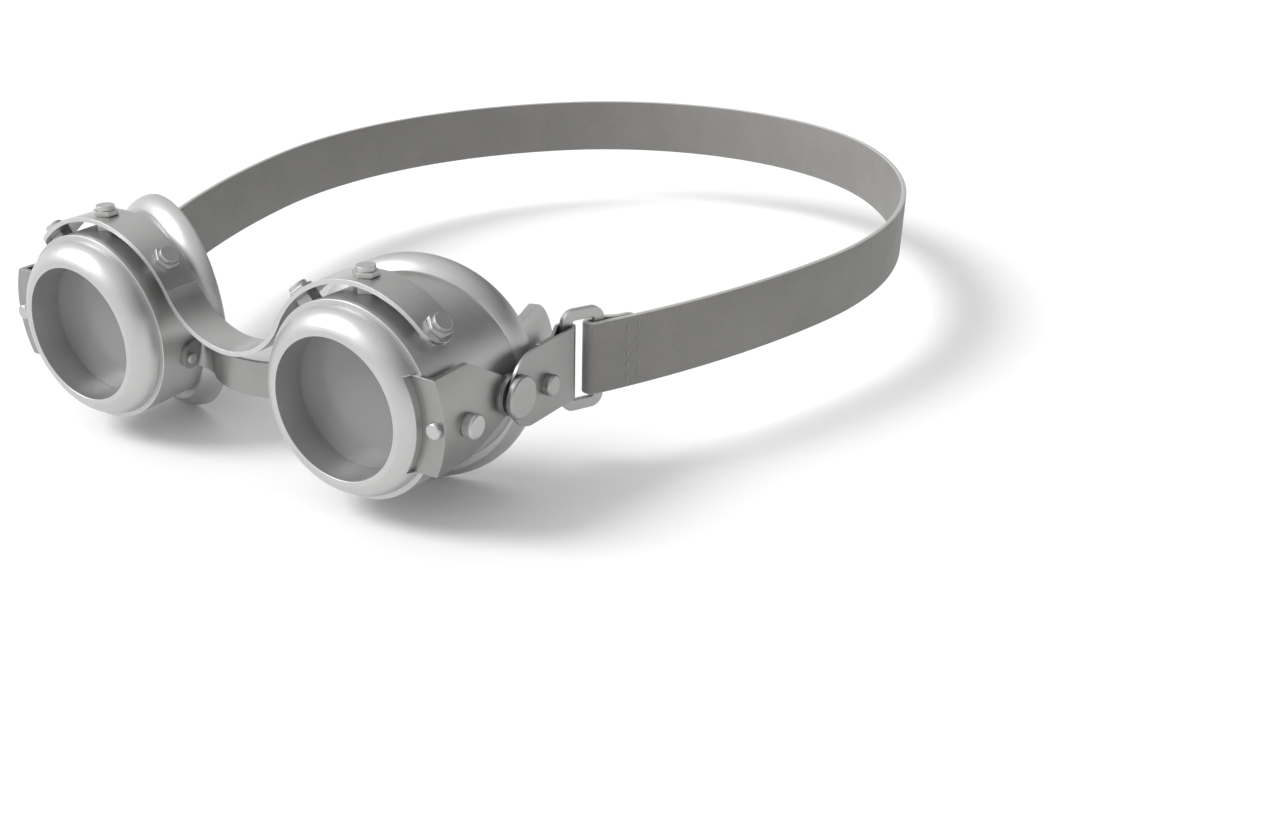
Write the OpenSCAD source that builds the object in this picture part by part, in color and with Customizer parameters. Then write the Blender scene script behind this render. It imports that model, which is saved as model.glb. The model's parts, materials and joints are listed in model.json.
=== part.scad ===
// Steampunk goggles: two round metal eyepieces joined by a top band and a
// nose bridge, with a pivoting strap harness.
// X runs from the left eyepiece to the right one, the lenses face -Y, Z is up.
// The origin is on the surface that the goggles stand on, under their middle.

/* [Eyepieces] */
// Distance between the two lens axes
eye_spacing = 67.3; // [64:0.1:80]
// Diameter of the opening in front of each lens
opening_d = 27.6; // [20:0.1:29]
// Width of the flat lip round the opening
lip_w = 1.05; // [0.6:0.05:1.4]
// Width of the barrel's front face that the bezel leaves bare
ring_step = 1; // [0.8:0.05:1.3]
// Height of the rounded bezel as a multiple of its width
bezel_rise = 1.42; // [1.1:0.01:1.6]
// Outer diameter of the barrel
barrel_d = 38.3; // [37.4:0.1:39]
// Wall of the barrel
barrel_wall = 1.6; // [1.2:0.1:1.9]
// Distance of the barrel's front face from the reference plane of the cups
barrel_front = 12.3; // [11.5:0.1:13.5]
// Outward lean of each barrel, so that its back is wider apart than its front
barrel_lean = 3.5; // [2:0.5:4]
// Depth of the lens below the bezel's lip
lens_depth = 6.8; // [6:0.1:7.6]
// Thickness of the lens
lens_t = 1.6; // [1.2:0.1:2]
// Width of the seat that carries the edge of the lens
lens_seat = 1.5; // [1:0.1:2]
// Thickness of the rubber ring behind the lens
gasket_t = 0.6; // [0.4:0.1:0.9]

/* [Eyecups] */
// Height of the step from the barrel to the eyecup's front edge
cup_step = 1.35; // [1.2:0.05:1.5]
// Amount by which the rim's radius exceeds that of the front edge
cup_flare = 2.3; // [2:0.1:2.5]
// Length of the eyecup from its front edge to its rim
cup_len = 4.6; // [4.4:0.1:5]
// Angle by which each eyecup turns outward to follow the face
cup_turn = 18; // [16:0.5:19]
// Distance of the rim's centre behind the reference plane
rim_back = 9.8; // [9.4:0.1:10.2]
// Amount by which the eyecups sit lower than the lens axes
cup_drop = 0.6; // [0.2:0.1:0.8]
// Amount by which the eyecups sit nearer the nose than the lens axes
cup_inset = 0.3; // [0:0.1:0.5]
// Amount by which brackets and strap sit lower than the lens axes
side_drop = 0.2; // [0:0.1:0.8]
// Wall of the eyecup
cup_wall = 1.5; // [1.4:0.05:1.6]
// Depth of the inner pane inside the rim
pane_recess = 2.4; // [2.2:0.1:2.6]
// Thickness of the inner pane
pane_t = 1; // [0.8:0.1:1.2]
// Height of the temple tab behind the rim
tab_h = 22; // [19:0.1:23]
// Length of the temple tab behind the rim
tab_len = 12.5; // [9:0.1:13]

/* [Top band] */
// Height of the gap between barrel and band
band_gap = 2.05; // [1.8:0.05:2.3]
// Thickness of the band
band_t = 0.9; // [0.7:0.05:1.1]
// Width of the band from front to back
band_w = 8.2; // [7.6:0.1:8.4]
// Distance of the band's middle in front of the reference plane
band_front = 5.6; // [5.4:0.1:5.8]
// Height of the band's dip over the nose above the lens axes
dip_z = 1.7; // [1:0.1:2.4]
// Angle between neighbouring screws round each lens axis
screw_step = 45; // [40:1:47]
// Distance by which the band's ends stop short of a full half circle
end_pull = 1; // [0.4:0.1:1.4]
// Width of the hexagons across their flats
hex_af = 4.4; // [3.8:0.1:4.6]
// Height of the hexagon collars
collar_h = 0.9; // [0.7:0.1:1.2]
// Diameter of the screw heads
screw_head_d = 3.7; // [3.2:0.1:3.8]
// Height of the screw heads
screw_head_h = 0.9; // [0.7:0.1:1.2]
// Diameter of the screw shanks
screw_d = 1.8; // [1.4:0.1:2]

/* [Nose bridge] */
// Height of the bridge plate
bridge_h = 7.7; // [7:0.1:8.4]
// Height of the bridge's top edge relative to the lens axes
bridge_top = -1.1; // [-1.6:0.1:-1]
// Thickness of the bridge
bridge_t = 0.9; // [0.7:0.05:1.1]
// Distance of the bridge's ends in front of the reference plane
bridge_front = 3.6; // [3.2:0.1:4]
// Width of the bridge plate between its tabs
bridge_w = 24.4; // [22:0.1:25]
// Forward bulge of the bridge plate
bridge_bulge = 1.5; // [1:0.1:2]
// Height of the tabs that lie on the barrels
bridge_tab_h = 6.4; // [6:0.1:6.6]
// Length of the tabs that lie on the barrels
bridge_tab_len = 4.3; // [4:0.1:4.6]
// Diameter of the bridge's rivet heads
bridge_rivet_d = 2.2; // [1.8:0.1:2.4]
// Distance of these rivets in front of the centre of the tab's round end
bridge_rivet_ahead = 0.6; // [0.5:0.1:1]

/* [Side brackets] */
// Gap between the barrel and the bracket's side plate
bracket_gap = 2.2; // [2:0.05:2.4]
// Amount by which the flange laps over the bezel
flange_lap = 0.75; // [0.5:0.05:0.9]
// Thickness of the bracket's sheet
bracket_t = 0.95; // [0.8:0.05:1]
// Half the height of the bracket
bracket_half_h = 9.3; // [8.6:0.1:9.8]
// Distance of the upper rear corner in front of the reference plane
bracket_corner = 3.6; // [2.4:0.1:4]
// Diameter of the side rivet's head
side_rivet_d = 4.7; // [4:0.1:5]
// Diameter of the flange rivet's head
flange_rivet_d = 3.1; // [2.6:0.1:3.3]
// Height of the side rivet's head
side_head_h = 2.1; // [1.4:0.1:2.4]
// Height of the flange rivet's head
flange_head_h = 1; // [0.7:0.05:1.2]
// Amount by which the side rivets sit lower than the strap's middle
rivet_drop = 1; // [0.5:0.1:1.3]
// Distance of the side rivet in front of the reference plane
side_rivet_front = 6.3; // [5.6:0.1:7]

/* [Strap pivots] */
// Distance of the pivot behind the reference plane
pivot_back = 7; // [6.8:0.1:7.2]
// Diameter of the knob's head
knob_d = 8.3; // [7.6:0.1:8.6]
// Thickness of the knob's head
knob_h = 1.2; // [0.9:0.1:1.6]
// Diameter of the knob's shoulder, on which the lug turns
shoulder_d = 3.2; // [2.8:0.1:3.4]
// Radial play of the lug on the shoulder
pivot_play = 0.05; // [0.03:0.01:0.08]
// Play beside the lug, between the boss and the knob's head
side_play = 0.25; // [0.25:0.05:0.35]
// Diameter of the boss under the lug
boss_d = 7.8; // [7:0.1:8]
// Height of the boss on the bracket
boss_h = 0.6; // [0.4:0.05:0.8]

/* [Lugs and rings] */
// Thickness of the lug
lug_t = 0.6; // [0.55:0.05:0.7]
// Distance of the ring's front bar behind the reference plane
bar_back = 25.9; // [25.5:0.1:27]
// Inner radius of the lug's loop round the bar
lug_loop_r = 1.3; // [1.25:0.05:1.4]
// Distance of the lug rivet behind the reference plane
lug_rivet_back = 16.8; // [16.6:0.1:17.2]
// Diameter of the lug rivet's head
lug_rivet_d = 4.2; // [3.6:0.1:4.6]
// Height of the lug rivet's head
lug_head_h = 1.7; // [1:0.1:2]
// Height of the ring
ring_h = 20.8; // [19:0.1:22]
// Width of the ring along the strap
ring_w = 9.3; // [8.9:0.1:9.7]
// Width of the ring's bars
bar_w = 2.1; // [1.9:0.1:2.2]
// Thickness of the ring
ring_t = 1.2; // [1:0.1:1.3]
// Radius of the ring's corners
ring_corner = 2.6; // [2:0.1:3.2]

/* [Strap] */
// Width of the strap
strap_w = 14.8; // [13:0.1:15]
// Thickness of the strap
strap_t = 1.2; // [1:0.1:1.3]
// Angle between the ring and the line of sight
strap_angle = 26.2; // [24:0.1:29]
// Radius of the strap's curve beside the temples
temple_r = 230; // [180:1:300]
// Angle through which the strap turns beside the temples
temple_sweep = 16.2; // [12:0.1:20]
// Radius of the strap's curve behind the ears
ear_r = 108; // [95:1:120]
// Angle through which the strap turns behind the ears
ear_sweep = 53.3; // [48:0.1:56]
// Length of the flap that is folded inward behind the ring
flap_len = 9; // [7:0.1:12]

/* [Hidden] */
$fn = 96;

// Clearance between parts that are pressed or screwed together
seat_gap = 0.02;
// Overlap that makes sure that a cut passes right through
past = 1;
// Radius of the bezel's rounded section, from its height and its width
lip_r = opening_d / 2 + lip_w;
bezel_d = barrel_d - 2 * ring_step;
bezel_run = bezel_d / 2 - lip_r;
bezel_h = bezel_run * bezel_rise;
bezel_round = (pow(bezel_run, 2) + pow(bezel_h, 2)) / (2 * bezel_run);
// Planes along the line of sight, from front to back
lip_y = -barrel_front - bezel_h;
lens_y = lip_y + lens_depth;
gasket_y = lens_y + lens_t;
ledge_y = gasket_y + gasket_t;
ledge_t = 1.2;
bore_r = barrel_d / 2 - barrel_wall;
lens_r = opening_d / 2 + lens_seat;
// Eyecup's front edge, seen along its own axis
cup_r = barrel_d / 2 + cup_step;
rim_r = cup_r + cup_flare;
rim_round = 0.45;
cup_bulge = (pow(cup_len - rim_round, 2) + pow(rim_r - cup_r, 2)) / (2 * (rim_r - cup_r));
cup_hole_r = bore_r - 0.4;
pane_r = rim_r - cup_wall;
// Surface of the barrel at its outermost point beside the pivot
pivot_z = -side_drop;
band_r = barrel_d / 2 + band_gap;
bracket_r = barrel_d / 2 + bracket_gap + bracket_t;
flange_y = -barrel_front - seat_gap - bracket_t;
flange_r = bezel_d / 2 - flange_lap;
lug_x = bracket_r + boss_h + side_play;
lug_mid_x = lug_x + lug_t / 2;
flap_gap = 0.15;
lug_in_x = lug_mid_x - lug_t - flap_gap;
knob_x = lug_x + lug_t + side_play;
bar_x = lug_x - lug_loop_r;
lug_end_r = strap_w / 2;
// Direction of the ring, from its front bar to its rear bar
ring_dir = [sin(strap_angle), cos(strap_angle)];
ring_out = [cos(strap_angle), -sin(strap_angle)];
bar_pitch = ring_w - bar_w;
front_bar = [eye_spacing / 2 + bar_x, bar_back];
rear_bar = front_bar + bar_pitch * ring_dir;
bar_play = 0.1;
layer_out = ring_t / 2 + bar_play + strap_t / 2;
// Centre line of the strap's right half, in three arcs
start = rear_bar + layer_out * ring_out;
head_1 = strap_angle - temple_sweep;
head_2 = head_1 - ear_sweep;
temple_c = start - temple_r * normal_at(strap_angle);
ear_start = temple_c + temple_r * normal_at(head_1);
ear_c = ear_start - ear_r * normal_at(head_1);
back_start = ear_c + ear_r * normal_at(head_2);
back_r = back_start[0] / sin(90 + head_2);
back_c = back_start - back_r * normal_at(head_2);
strap_back = back_c[1] + back_r + strap_t / 2;
// Place of the whole part: its middle at Y 0 and its lowest rim at Z 0
mid_y = (lip_y + strap_back) / 2;
axis_z = rim_r + cup_drop;

// Outward normal of the strap where it heads at an angle from +Y
function normal_at(a) = [cos(a), -sin(a)];

// Points along an arc between two headings
function arc(c, r, a0, a1, n) =
    [for (i = [0:n]) c + r * normal_at(a0 + (a1 - a0) * i / n)];

function unit(v) = v / norm(v);

// Sideways direction at a point of a path, along the mean of its two runs
function side_dir(path, i) =
    let (a = unit(path[min(i + 1, len(path) - 1)] - path[min(i, len(path) - 2)]))
    let (b = unit(path[max(i, 1)] - path[max(i - 1, 0)]))
    let (m = unit(a + b), k = 1 / max(0.5, m * a))
    k * [m[1], -m[0]];

// Outline of a strip of thickness t along a path
function ribbon(path, t) = concat(
    [for (i = [0:len(path) - 1]) path[i] + side_dir(path, i) * t / 2],
    [for (i = [len(path) - 1:-1:0]) path[i] - side_dir(path, i) * t / 2]);

module place() {
    translate([0, -mid_y, axis_z]) children();
}

// Mirrored copy for the left side
module to_side(side) {
    if (side > 0) children();
    else mirror([1, 0, 0]) children();
}

// Coordinates of one lens: Z of the children runs backwards along its axis
module on_axis(side) {
    place() to_side(side)
        translate([eye_spacing / 2, 0, 0]) rotate([-90, 0, 0]) children();
}

// Coordinates of one eyepiece with its axes turned as those of the part
module on_eye(side) {
    place() to_side(side) translate([eye_spacing / 2, 0, 0]) children();
}

// Coordinates of an eyecup: Z of the children runs forward from the rim
module on_cup() {
    translate([-cup_inset, rim_back, -cup_drop]) rotate([0, 0, cup_turn])
        rotate([90, 0, 0]) children();
}

// Flat ring between two radii
module washer(r_out, r_in, h) {
    difference() {
        cylinder(r = r_out, h = h);
        translate([0, 0, -past]) cylinder(r = r_in, h = h + 2 * past);
    }
}

// Coordinates of a screw of the top band: Z of the children runs outward
module at_screw(angle) {
    translate([0, -band_front, 0]) rotate([0, 90 - angle, 0]) children();
}

module each_screw() {
    for (side = [-1, 1])
        for (i = [-1:1])
            on_eye(side) at_screw(90 + i * screw_step) children();
}

// Bezel
module bezel(side) {
    skirt_r = bore_r - 0.05;
    color("gainsboro") on_axis(side) difference() {
        union() {
            rotate_extrude() intersection() {
                translate([bezel_d / 2 - bezel_round, -barrel_front]) circle(r = bezel_round);
                translate([0, lip_y]) square([bezel_d / 2, bezel_h]);
            }
            translate([0, 0, -barrel_front])
                cylinder(r = skirt_r, h = gasket_y + barrel_front);
        }
        translate([0, 0, lip_y - past]) cylinder(d = opening_d, h = lens_depth + 2 * past);
        translate([0, 0, lens_y]) cylinder(r = lens_r + seat_gap, h = lens_t + past);
        flange_notch();
    }
}

// Notch in the bezel's edge for the bracket's flange
module flange_notch() {
    h = bracket_half_h + seat_gap;
    depth = bezel_h + past + seat_gap;
    translate([0, 0, lip_y - past]) linear_extrude(height = depth) intersection() {
        ring_2d(bezel_d / 2 + past, flange_r - seat_gap);
        translate([0, -pivot_z - h]) square([bezel_d, 2 * h]);
    }
}

module lens(side) {
    color("gray") on_axis(side) translate([0, 0, lens_y]) cylinder(r = lens_r, h = lens_t);
}

module lens_gasket(side) {
    color("dimgray") on_axis(side) translate([0, 0, gasket_y])
        washer(lens_r, opening_d / 2, gasket_t);
}

// Barrel, with its back cut along the eyecup's front edge
module barrel_solid(r) {
    translate([0, -barrel_front, 0]) rotate([-90, 0, -barrel_lean])
        translate([0, 0, -barrel_d / 2]) cylinder(r = r, h = 2 * barrel_d);
}

module barrel(side) {
    color("silver") on_eye(side) difference() {
        barrel_solid(barrel_d / 2);
        translate([-barrel_d, -barrel_front - 2 * barrel_d, -barrel_d])
            cube([2 * barrel_d, 2 * barrel_d, 2 * barrel_d]);
        on_cup() translate([-barrel_d, -barrel_d, cup_len - 4 * barrel_d])
            cube([2 * barrel_d, 2 * barrel_d, 4 * barrel_d]);
        rotate([-90, 0, 0]) {
            translate([0, 0, -barrel_front - past])
                cylinder(r = bore_r, h = ledge_y + barrel_front + past);
            translate([0, 0, -barrel_front])
                cylinder(d = opening_d, h = 3 * barrel_front);
        }
        intersection() {
            barrel_solid(bore_r);
            translate([-barrel_d, ledge_y + ledge_t, -barrel_d])
                cube([2 * barrel_d, 2 * barrel_d, 2 * barrel_d]);
        }
        each_shank(side);
    }
}

// Holes in the barrel for the screws and rivets that are fixed in it
module each_shank(side) {
    for (i = [-1:1]) at_screw(90 + i * screw_step)
        cylinder(d = screw_d + 2 * seat_gap, h = band_r);
    side_rivet_place() cylinder(d = rivet_shank(side_rivet_d) + 2 * seat_gap, h = bracket_r);
    bridge_rivet_place() cylinder(d = rivet_shank(bridge_rivet_d) + 2 * seat_gap, h = barrel_d / 2 + past);
}

function rivet_shank(head) = head * 0.45;

// Eyecup with its rounded flare, its flat rear rim and the temple tab
module eyecup(side) {
    color("lightgray") on_eye(side) on_cup() {
        rotate_extrude() difference() {
            union() {
                intersection() {
                    translate([rim_r - cup_bulge, rim_round]) circle(r = cup_bulge);
                    translate([0, rim_round]) square([rim_r, cup_len - rim_round]);
                }
                square([rim_r - rim_round, rim_round]);
                translate([rim_r - rim_round, rim_round]) circle(r = rim_round);
            }
            square([pane_r, pane_recess + pane_t]);
            square([cup_hole_r, cup_len + past]);
        }
        temple_tab();
    }
}

// Tab that carries the eyecup's wall on behind the rim, with round corners
module temple_tab() {
    corner = 3;
    intersection() {
        translate([0, 0, -tab_len]) washer(rim_r, pane_r, tab_len + rim_round + past / 2);
        rotate([0, 90, 0]) linear_extrude(height = 2 * rim_r)
            tab_outline(corner);
    }
}

module tab_outline(corner) {
    h = tab_h / 2;
    translate([-2 * past, -h]) square([2 * past + tab_len - corner, tab_h]);
    translate([0, corner - h]) square([tab_len, tab_h - 2 * corner]);
    for (s = [-1, 1]) translate([tab_len - corner, s * (h - corner)]) circle(r = corner);
}

module inner_pane(side) {
    color("darkgray") on_eye(side) on_cup() translate([0, 0, pane_recess])
        cylinder(r = pane_r - seat_gap, h = pane_t);
}

// Top band: an arc over each barrel, joined by a dip that touches both
module top_band() {
    r_out = band_r + band_t;
    half = eye_spacing / 2;
    dip_r = (pow(half, 2) + pow(dip_z, 2) - pow(r_out, 2)) / (2 * (r_out - dip_z));
    dip_c = dip_z + dip_r;
    join_a = atan2(dip_c, half);
    // The dip is a hair thicker than the arcs and laps over them a little, so
    // that their round faces don't meet at a tangent
    lap_step = 0.05;
    lap_a = 2;
    end_a = 90 - screw_step;
    pull_a = end_pull / r_out * 180 / PI;
    color("silver") place() difference() {
        union() {
            for (s = [-1, 1]) to_side(s) translate([half, 0, 0])
                band_arc(r_out, band_r, end_a + pull_a, 180 - join_a);
            translate([0, 0, dip_c]) band_arc(dip_r + band_t + lap_step,
                dip_r - lap_step, 180 + join_a - lap_a, 360 - join_a + lap_a);
            for (s = [-1, 1]) band_end(s, end_a + pull_a, r_out);
        }
        for (s = [-1, 1]) for (i = [-1:1]) band_hole(s, 90 + i * screw_step);
    }
}

// Curved strip of the band between two angles
module band_arc(r_out, r_in, a0, a1) {
    translate([0, band_w / 2 - band_front, 0]) rotate([90, 0, 0])
        linear_extrude(height = band_w) intersection() {
            ring_2d(r_out, r_in);
            sector(a0, a1);
        }
}

module band_hole(s, angle) {
    to_side(s) translate([eye_spacing / 2, 0, 0]) at_screw(angle)
        cylinder(d = screw_d + 2 * seat_gap, h = 2 * band_r);
}

// Round end of the band, concentric with its outermost screw
module band_end(s, angle, r_out) {
    to_side(s) translate([eye_spacing / 2, 0, 0]) intersection() {
        rotate([90, 0, 0]) translate([0, 0, band_front - band_w])
            washer(r_out, band_r, 2 * band_w);
        at_screw(angle) cylinder(d = band_w, h = 2 * band_r);
    }
}

module ring_2d(r_out, r_in) {
    difference() {
        circle(r = r_out);
        circle(r = r_in);
    }
}

// Wedge between two angles, larger than any ring that it cuts
module sector(a0, a1) {
    reach = 3 * eye_spacing;
    steps = 4;
    polygon(concat([[0, 0]], [for (i = [0:steps])
        reach * [cos(a0 + (a1 - a0) * i / steps), sin(a0 + (a1 - a0) * i / steps)]]));
}

// Hexagon bar with its flats facing front and back
module hex_bar(h) {
    rotate([0, 0, 30]) cylinder(d = hex_af / cos(30), h = h, $fn = 6);
}

module band_spacers() {
    color("white") for (side = [-1, 1]) on_eye(side) difference() {
        for (i = [-1:1]) at_screw(90 + i * screw_step) intersection() {
            hex_bar(2 * band_r);
            translate([0, 0, barrel_d / 4]) cylinder(r = hex_af, h = barrel_d);
        }
        barrel_solid(barrel_d / 2 + seat_gap);
        rotate([90, 0, 0]) translate([0, 0, -past])
            washer(3 * band_r, band_r - seat_gap, 3 * band_w);
        for (i = [-1:1]) at_screw(90 + i * screw_step)
            cylinder(d = screw_d + 2 * seat_gap, h = 2 * band_r);
    }
}

module band_collars() {
    color("whitesmoke") each_screw() translate([0, 0, band_r + band_t + seat_gap]) difference() {
        hex_bar(collar_h);
        translate([0, 0, -past]) cylinder(d = screw_d + 2 * seat_gap, h = collar_h + 2 * past);
    }
}

module band_screws() {
    top = band_r + band_t + collar_h + 2 * seat_gap;
    tip = barrel_d / 2 - barrel_wall + 0.5;
    color("whitesmoke") each_screw() {
        translate([0, 0, tip]) cylinder(d = screw_d, h = top - tip + past / 10);
        translate([0, 0, top]) cylinder(d = screw_head_d, h = screw_head_h);
    }
}

// Nose bridge: a bulged plate between two tabs that lie on the barrels
module nose_bridge() {
    half = eye_spacing / 2;
    span = half - barrel_d / 2 + 0.6;
    bulge_r = (pow(span, 2) + pow(bridge_bulge, 2)) / (2 * bridge_bulge);
    color("silver") place() difference() {
        union() {
            difference() {
                translate([0, bulge_r - bridge_front - bridge_bulge, bridge_top - bridge_h])
                    linear_extrude(height = bridge_h) intersection() {
                        ring_2d(bulge_r, bulge_r - bridge_t);
                        translate([-span, -2 * bulge_r]) square([2 * span, 2 * bulge_r]);
                    }
                for (s = [-1, 1]) to_side(s) translate([half, 0, 0])
                    barrel_solid(barrel_d / 2 + seat_gap);
                for (s = [-1, 1]) to_side(s)
                    translate([bridge_w / 2, -barrel_front, bridge_top - bridge_h - past])
                        cube([span, 2 * barrel_front, bridge_h - bridge_tab_h + past]);
            }
            for (s = [-1, 1]) to_side(s) translate([half, 0, 0]) bridge_tab();
        }
        for (s = [-1, 1]) to_side(s) translate([half, 0, 0]) bridge_rivet_place()
            cylinder(d = rivet_shank(bridge_rivet_d) + 2 * seat_gap, h = barrel_d);
    }
}

// Tab of the bridge, rolled to the barrel, with a round front end
module bridge_tab() {
    r = bridge_tab_h / 2;
    z_mid = bridge_top - r;
    y_back = -bridge_front + bridge_t;
    y_round = -bridge_front - bridge_tab_len + r;
    intersection() {
        difference() {
            barrel_solid(barrel_d / 2 + bridge_t);
            barrel_solid(barrel_d / 2 + seat_gap);
        }
        translate([-barrel_d, 0, z_mid]) rotate([90, 0, 90]) linear_extrude(height = barrel_d) {
            translate([y_round, -r]) square([y_back - y_round, bridge_tab_h]);
            translate([y_round, 0]) circle(r = r);
        }
    }
}

// Rivet of the bridge: Z of the children runs outward from the lens axis
module bridge_rivet_place() {
    r = bridge_tab_h / 2;
    z_mid = bridge_top - r;
    y = -bridge_front - bridge_tab_len + r - bridge_rivet_ahead;
    tilt = asin(z_mid / (barrel_d / 2));
    // The lean carries the rivet backwards, so its way along the barrel is shorter
    lean_y = (barrel_d / 2 + bridge_t) * cos(tilt) * sin(barrel_lean);
    along = (y + barrel_front - lean_y) / cos(barrel_lean);
    translate([0, -barrel_front, 0]) rotate([0, 0, -barrel_lean])
        translate([0, along, 0]) rotate([0, -90 + tilt, 0]) children();
}

module bridge_rivets() {
    seat = barrel_d / 2 + bridge_t + seat_gap;
    color("whitesmoke") for (s = [-1, 1]) on_eye(s) bridge_rivet_place() {
        translate([0, 0, seat]) rivet_head(bridge_rivet_d, bridge_rivet_d * 0.3);
        translate([0, 0, bore_r + 0.4])
            cylinder(d = rivet_shank(bridge_rivet_d), h = seat - bore_r - 0.4 + past / 10);
    }
}

// Flat rivet head with a rounded edge
module rivet_head(d, h) {
    edge = min(h * 0.4, d * 0.12);
    rotate_extrude() {
        square([d / 2, h - edge]);
        square([d / 2 - edge, h]);
        translate([d / 2 - edge, h - edge]) circle(r = edge, $fn = 32);
    }
}

// Side bracket: a curved side plate with a flange in front of the barrel
module side_bracket(side) {
    front = flange_y;
    tip_r = pivot_tip_r();
    color("lightgray") on_eye(side) difference() {
        union() {
            intersection() {
                rotate([-90, 0, 0]) difference() {
                    translate([0, 0, front]) cylinder(r = bracket_r, h = 3 * barrel_front);
                    translate([0, 0, front + bracket_t])
                        cylinder(r = bracket_r - bracket_t, h = 3 * barrel_front);
                    translate([0, 0, front - past]) cylinder(r = flange_r, h = 2 * past + bracket_t);
                }
                translate([flange_r / 2, 0, pivot_z]) rotate([90, 0, 90])
                    linear_extrude(height = bracket_r) bracket_outline(front, tip_r);
            }
            translate([bracket_r - bracket_t, pivot_back, pivot_z]) rotate([0, 90, 0])
                cylinder(d = boss_d, h = bracket_t + boss_h);
        }
        translate([0, pivot_back, pivot_z]) rotate([0, 90, 0])
            cylinder(d = shoulder_d * 0.8 + 2 * seat_gap, h = 2 * bracket_r);
        side_rivet_place() cylinder(d = rivet_shank(side_rivet_d) + 2 * seat_gap, h = 2 * bracket_r);
        flange_rivet_place() translate([0, 0, -past])
            cylinder(d = rivet_shank(flange_rivet_d) + 2 * seat_gap, h = 2 * barrel_front);
    }
}

// Radius of the bracket's rounded tip, short of the eyecup's front edge
function pivot_tip_r() = boss_d * 0.42;

// Side view of the bracket: Y to the right, Z up
module bracket_outline(front, tip_r) {
    h = bracket_half_h;
    polygon([[front, -h], [-bracket_corner, -h], [pivot_back, -tip_r],
        [pivot_back, tip_r], [-bracket_corner, h], [front, h]]);
    translate([pivot_back, 0]) circle(r = tip_r);
}

module side_rivet_place() {
    translate([0, -side_rivet_front, pivot_z - rivet_drop]) rotate([0, 90, 0]) children();
}

// Flange rivet: Z of the children runs backwards from the flange's face
module flange_rivet_place() {
    translate([barrel_d / 2 + bracket_gap / 2, flange_y, pivot_z])
        rotate([-90, 0, 0]) children();
}

module bracket_rivets(side) {
    color("whitesmoke") on_eye(side) {
        side_rivet_place() {
            translate([0, 0, bracket_r + seat_gap]) rivet_head(side_rivet_d, side_head_h);
            translate([0, 0, bore_r + 0.8]) cylinder(d = rivet_shank(side_rivet_d),
                h = bracket_r - bore_r - 0.8 + past / 10);
        }
        flange_rivet_place() {
            translate([0, 0, -seat_gap]) mirror([0, 0, 1])
                rivet_head(flange_rivet_d, flange_head_h);
            translate([0, 0, -past / 10])
                cylinder(d = rivet_shank(flange_rivet_d), h = bracket_t + past / 10 + 2 * seat_gap);
            translate([0, 0, bracket_t + seat_gap])
                cylinder(d = bracket_gap * 0.8, h = bracket_gap * 0.3);
        }
    }
}

// Thumb screw: a flat head on a shoulder, with a thread in the bracket
module hinge_knob(side) {
    thread_x = bracket_r - bracket_t;
    shoulder_x = bracket_r + boss_h;
    color("whitesmoke") on_eye(side) translate([0, pivot_back, pivot_z]) rotate([0, 90, 0]) {
        translate([0, 0, thread_x])
            cylinder(d = shoulder_d * 0.8, h = shoulder_x - thread_x + past / 10);
        translate([0, 0, shoulder_x + seat_gap])
            cylinder(d = shoulder_d, h = knob_x - shoulder_x);
        translate([0, 0, knob_x]) rivet_head(knob_d, knob_h);
    }
}

// Path of the lug in plan, from its front end round the bar and back
function lug_path() =
    let (in_x = bar_x - lug_loop_r - lug_t / 2, n = 12)
    concat([[lug_mid_x, pivot_back - lug_end_r]],
        [for (i = [0:n]) [bar_x, bar_back]
            + (lug_loop_r + lug_t / 2) * [cos(180 * i / n), sin(180 * i / n)]],
        [[in_x, bar_back - 1], [lug_in_x, bar_back - 6],
            [lug_in_x, lug_rivet_back - lug_rivet_d / 2 + 0.2]]);

module strap_lug(side) {
    tip_y = pivot_back + lug_end_r - 2.4;
    color("dimgray") on_eye(side) difference() {
        translate([0, 0, pivot_z]) intersection() {
            translate([0, 0, -strap_w]) linear_extrude(height = 2 * strap_w)
                polygon(ribbon(lug_path(), lug_t));
            rotate([90, 0, 90]) linear_extrude(height = 2 * bracket_r) {
                translate([tip_y, 0]) circle(r = lug_end_r);
                translate([tip_y, -lug_end_r]) square([2 * bar_back, strap_w]);
            }
        }
        translate([0, pivot_back, pivot_z]) rotate([0, 90, 0])
            cylinder(r = shoulder_d / 2 + pivot_play, h = 2 * bracket_r);
        lug_rivet_place() cylinder(d = rivet_shank(lug_rivet_d) + 2 * seat_gap, h = 2 * bracket_r);
    }
}

module lug_rivet_place() {
    translate([0, lug_rivet_back, pivot_z - rivet_drop]) rotate([0, 90, 0]) children();
}

module lug_rivet(side) {
    color("whitesmoke") on_eye(side) lug_rivet_place() {
        translate([0, 0, lug_x + lug_t + seat_gap]) rivet_head(lug_rivet_d, lug_head_h);
        translate([0, 0, lug_x - lug_t - flap_gap])
            cylinder(d = rivet_shank(lug_rivet_d), h = 2 * lug_t + flap_gap + past / 10);
    }
}

// Flat ring with two bars, seen along its thickness
module strap_ring(side) {
    color("gray") place() to_side(side)
        translate([front_bar[0], front_bar[1], pivot_z])
        rotate([0, 0, -strap_angle]) rotate([90, 0, 90])
        translate([-bar_w / 2, -ring_h / 2, -ring_t / 2]) linear_extrude(height = ring_t)
        difference() {
            round_rect(ring_w, ring_h, ring_corner);
            translate([bar_w, bar_w]) round_rect(ring_w - 2 * bar_w, ring_h - 2 * bar_w, 0.6);
        }
}

module round_rect(w, h, r) {
    translate([r, 0]) square([w - 2 * r, h]);
    translate([0, r]) square([w, h - 2 * r]);
    for (x = [r, w - r]) for (y = [r, h - r]) translate([x, y]) circle(r = r);
}

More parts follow.
